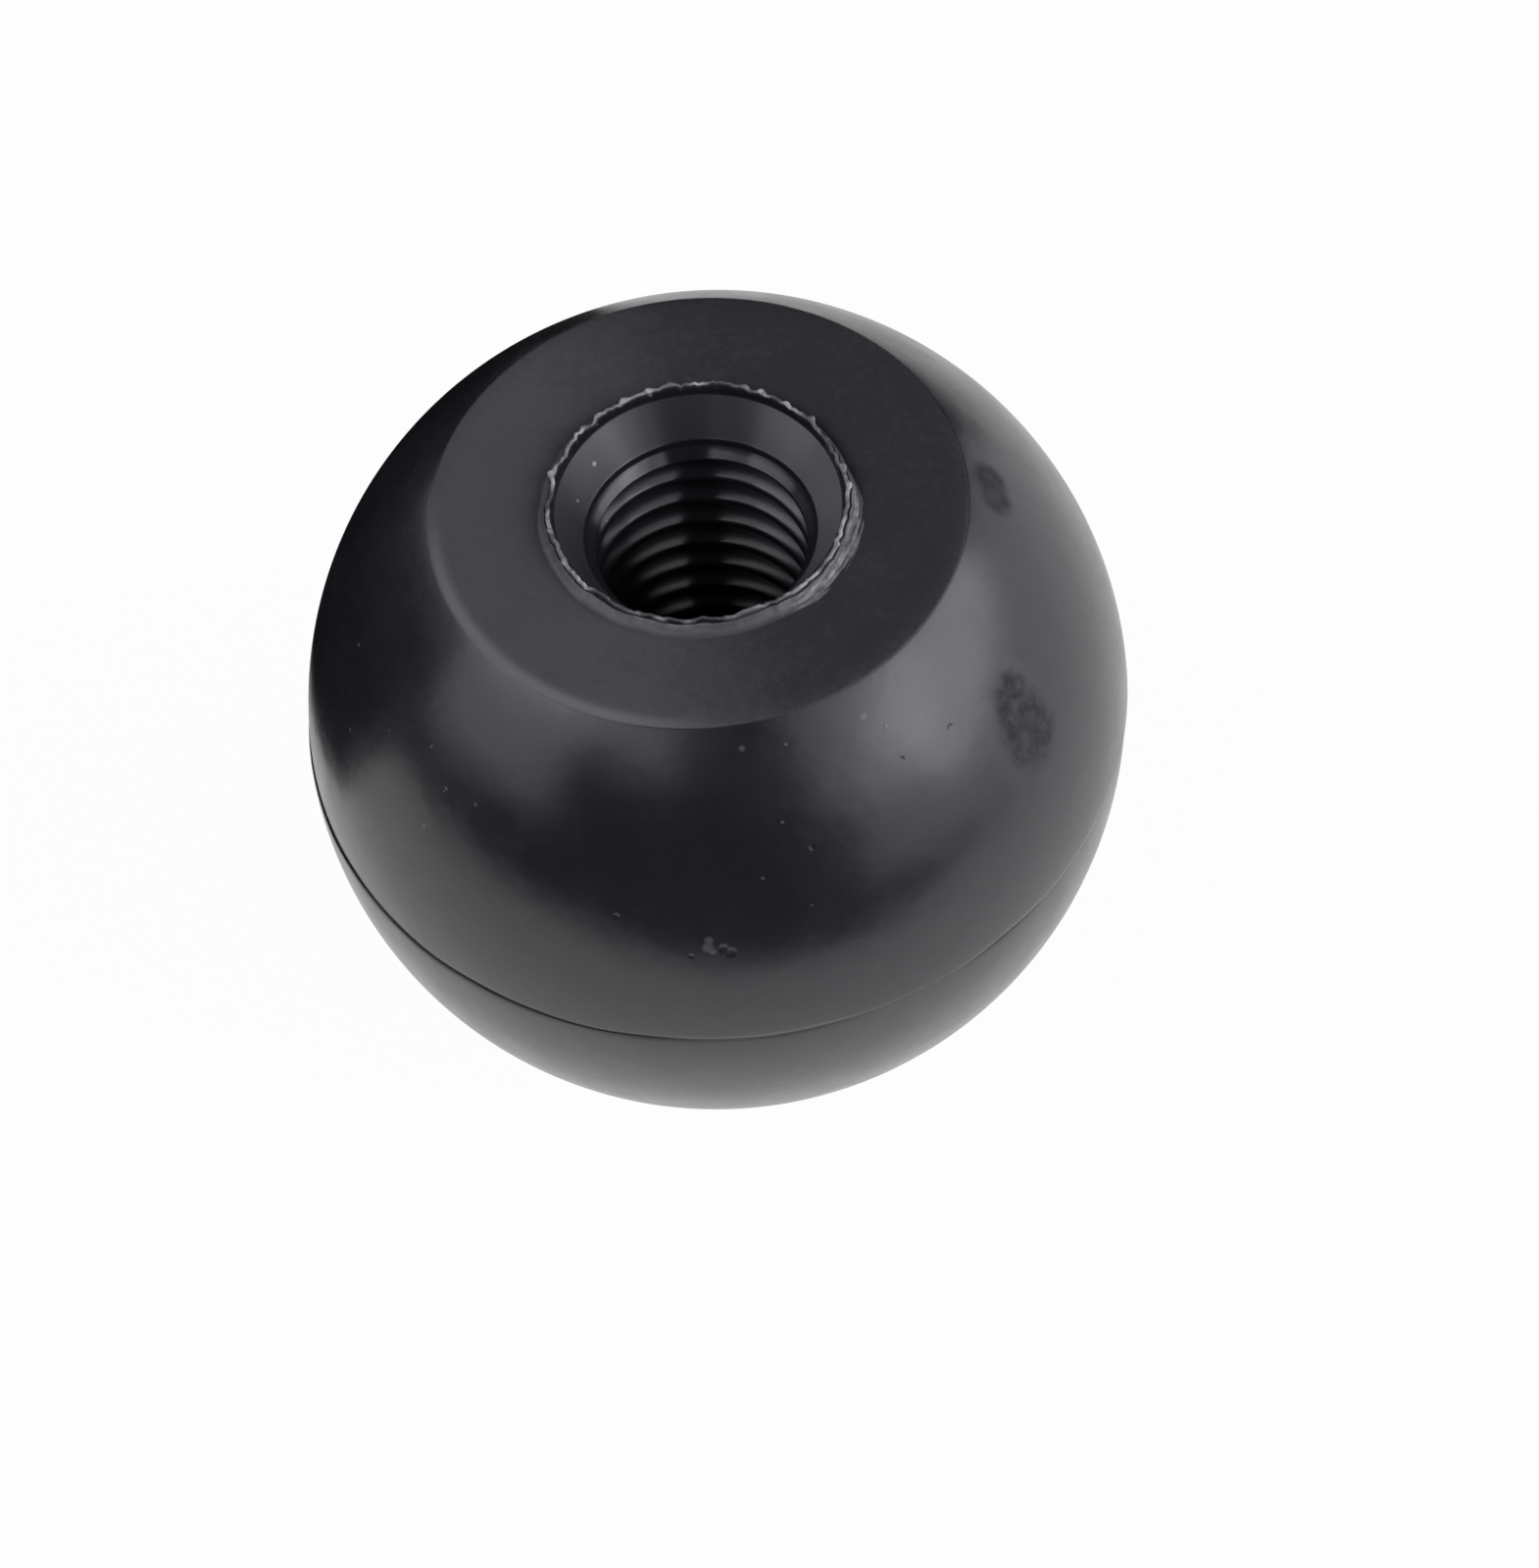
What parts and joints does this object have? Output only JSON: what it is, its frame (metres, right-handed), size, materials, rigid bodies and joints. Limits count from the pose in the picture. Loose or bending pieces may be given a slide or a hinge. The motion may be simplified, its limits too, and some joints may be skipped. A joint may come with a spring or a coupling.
{
  "type": "ball knob",
  "caption": "Black moulded ball knob with one flat face and a blind threaded hole in its middle, for the end of a machine lever.",
  "frame": {"origin": "the ball's lowest point, opposite the flat face, on the hole's axis", "axes": "+Z along the threaded hole's axis, out of its mouth; X and Y are free, as the knob is a turned form"},
  "size_m": [0.04, 0.04, 0.036],
  "materials": {
    "black_phenolic": "semi-gloss, moulded"
  },
  "bodies": {
    "root": {"ball_knob": "black_phenolic"}
  },
  "joints": []
}
